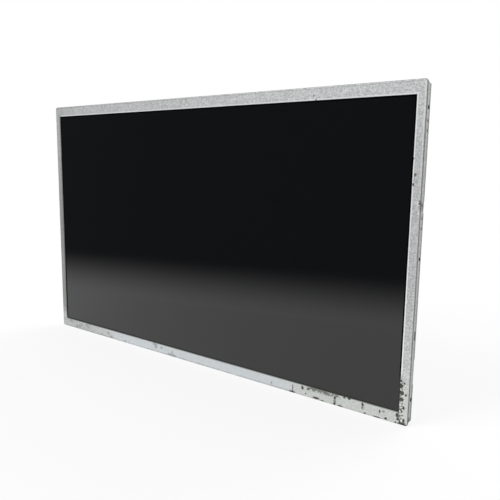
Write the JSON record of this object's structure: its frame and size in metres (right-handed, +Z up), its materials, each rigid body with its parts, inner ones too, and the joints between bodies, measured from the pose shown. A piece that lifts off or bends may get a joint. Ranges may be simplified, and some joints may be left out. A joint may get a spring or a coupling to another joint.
{
  "type": "laptop screen panel",
  "caption": "Slim bare laptop display module: glossy wide screen in a folded zinc-coated steel bezel, with side screw holes, backlight inside and a driver board along the lower back.",
  "frame": {"origin": "middle of the bottom edge, half way through the thickness", "axes": "+X to the viewer's right, +Y from the screen to the back, +Z up"},
  "size_m": [0.3236, 0.0054, 0.192],
  "materials": {
    "zinc_steel": "zinc-coated, fine crystal pattern, worn",
    "nut_steel": "plain",
    "shell_steel": "tinned",
    "cover_aluminium": "rolled, satin",
    "frame_plastic": "moulded, fine grain",
    "screen": "high gloss",
    "cell_glass": "polished",
    "dark_film": "smooth",
    "black_tape": "matt",
    "light_film": "frosted",
    "acrylic": "clear with printed dots",
    "white_film": "matt white",
    "flex": "amber film over copper",
    "lamp": "white with yellow filling",
    "board": "green solder mask",
    "chip": "moulded",
    "socket_plastic": "moulded",
    "contact_metal": "gold-plated",
    "ferrite": "matt",
    "capacitor": "with tinned ends",
    "resistor": "with tinned ends",
    "clear_film": "clear film"
  },
  "bodies": {
    "root": {"front_bezel": "zinc_steel", "bezel_gasket": "black_tape", "front_polarizer": "screen", "color_filter_glass": "cell_glass", "tft_glass": "cell_glass", "rear_polarizer": "dark_film", "cell_tape": "black_tape", "upper_diffuser": "light_film", "upper_prism_sheet": "light_film", "lower_prism_sheet": "light_film", "lower_diffuser": "light_film", "light_guide": "acrylic", "reflector_sheet": "white_film", "led_strip": "flex", "leds": "lamp", "mold_frame": "frame_plastic", "side_nuts": "nut_steel", "rear_cover": "cover_aluminium", "driver_board": "board", "signal_connector_housing": "socket_plastic", "signal_connector_shell": "shell_steel", "signal_connector_contacts": "contact_metal", "led_connector": "socket_plastic", "timing_controller": "chip", "power_chip": "chip", "led_driver_chip": "chip", "memory_chip": "chip", "inductors": "ferrite", "capacitors": "capacitor", "resistors": "resistor", "board_film": "clear_film", "source_film_1": "flex", "source_driver_1": "chip", "source_film_2": "flex", "source_driver_2": "chip", "source_film_3": "flex", "source_driver_3": "chip"}
  },
  "joints": []
}
